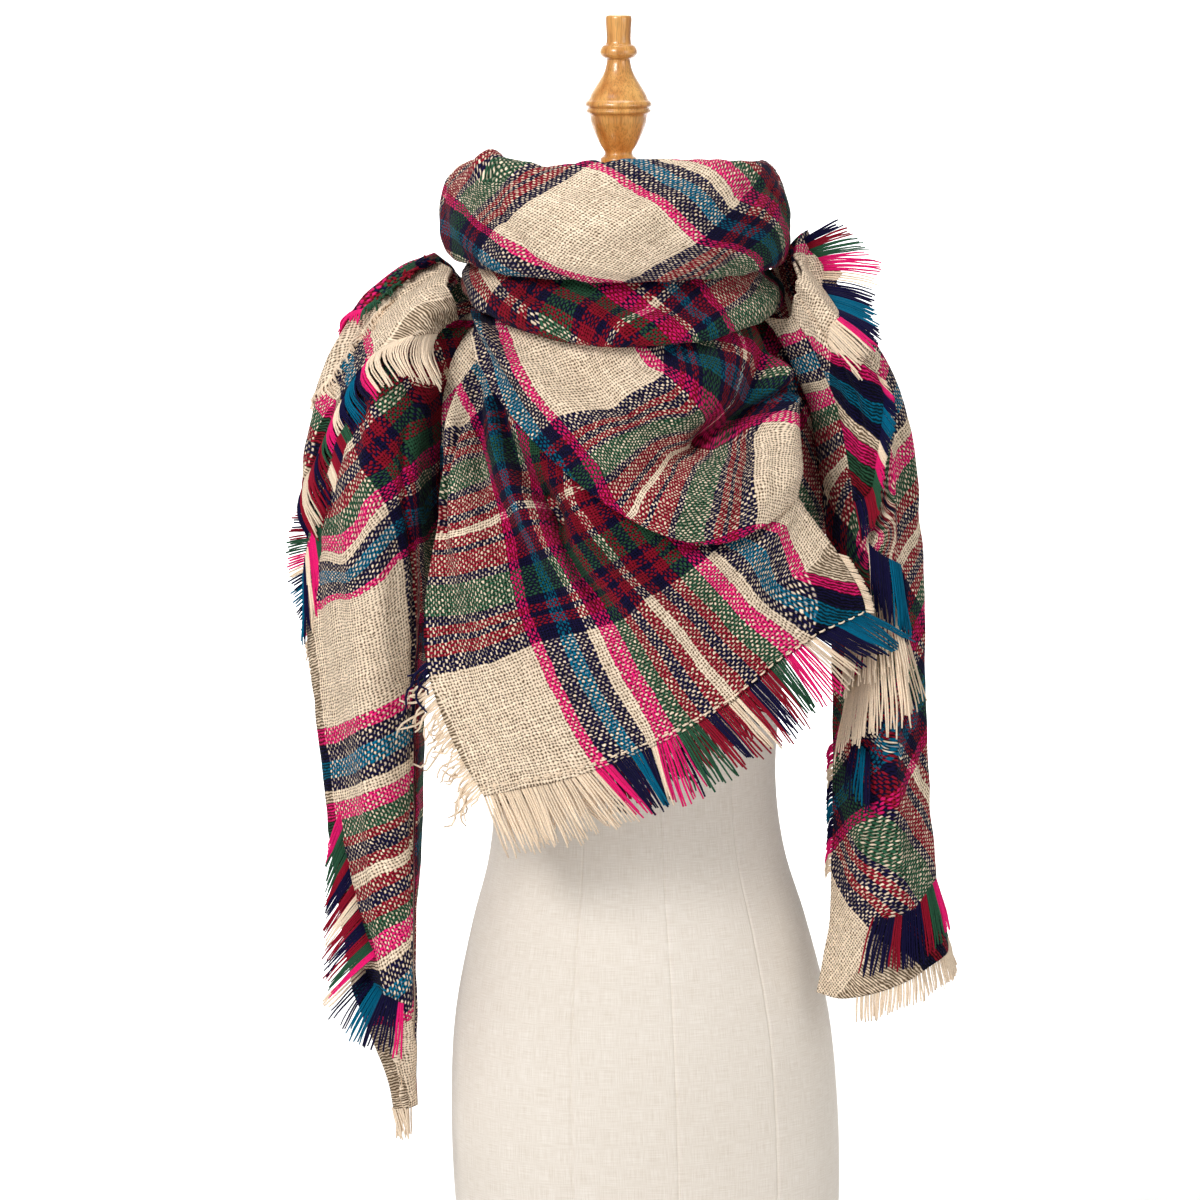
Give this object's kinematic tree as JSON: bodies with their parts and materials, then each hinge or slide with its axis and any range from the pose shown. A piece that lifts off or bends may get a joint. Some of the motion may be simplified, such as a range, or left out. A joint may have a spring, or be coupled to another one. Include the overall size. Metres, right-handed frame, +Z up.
{
  "type": "blanket scarf on a dress form",
  "caption": "Square fringed blanket scarf in plaid, folded to a triangle and wound round the neck of a limbless linen dress form with a turned wooden finial on a low round stand.",
  "frame": {"origin": "centre of the stand's underside", "axes": "+Z up; the form faces -Y; +X is the viewer's right when looking at the front"},
  "size_m": [0.5703, 0.3434, 1.1432],
  "materials": {
    "linen": "plain linen cover, matt",
    "honey_wood": "turned, honey varnish",
    "blanket_cloth": "loose brushed plain weave, plaid in cream, pink, navy, teal, green and red",
    "cream_cloth": "loose brushed plain weave, cream",
    "fringe_yarn": "twisted wool-like yarn"
  },
  "bodies": {
    "root": {"corner_drape": "blanket_cloth", "cowl_lip": "blanket_cloth", "cowl_roll": "blanket_cloth", "dress_form": "linen", "edge_fringe": "fringe_yarn", "finial": "honey_wood", "frayed_edge": "fringe_yarn", "hem_fringe": "fringe_yarn", "left_back_fringe": "fringe_yarn", "left_layer": "blanket_cloth", "left_layer_fringe": "fringe_yarn", "left_outer_tufts": "fringe_yarn", "left_shoulder": "blanket_cloth", "left_shoulder_tufts": "fringe_yarn", "left_tail": "blanket_cloth", "left_tail_fringe": "fringe_yarn", "left_tip_fringe": "fringe_yarn", "neck_cap": "honey_wood", "right_back_fringe": "fringe_yarn", "right_fan_fringe": "fringe_yarn", "right_inner_tufts": "fringe_yarn", "right_layer": "blanket_cloth", "right_layer_fringe": "fringe_yarn", "right_middle_fringe": "fringe_yarn", "right_shoulder": "blanket_cloth", "right_tail": "blanket_cloth", "right_tip_fringe": "fringe_yarn", "right_upper_tip_fringe": "fringe_yarn", "second_fold": "blanket_cloth", "stand_base": "honey_wood", "stand_pole": "honey_wood", "third_fold": "blanket_cloth", "under_corner": "cream_cloth", "under_fringe": "fringe_yarn"}
  },
  "joints": []
}
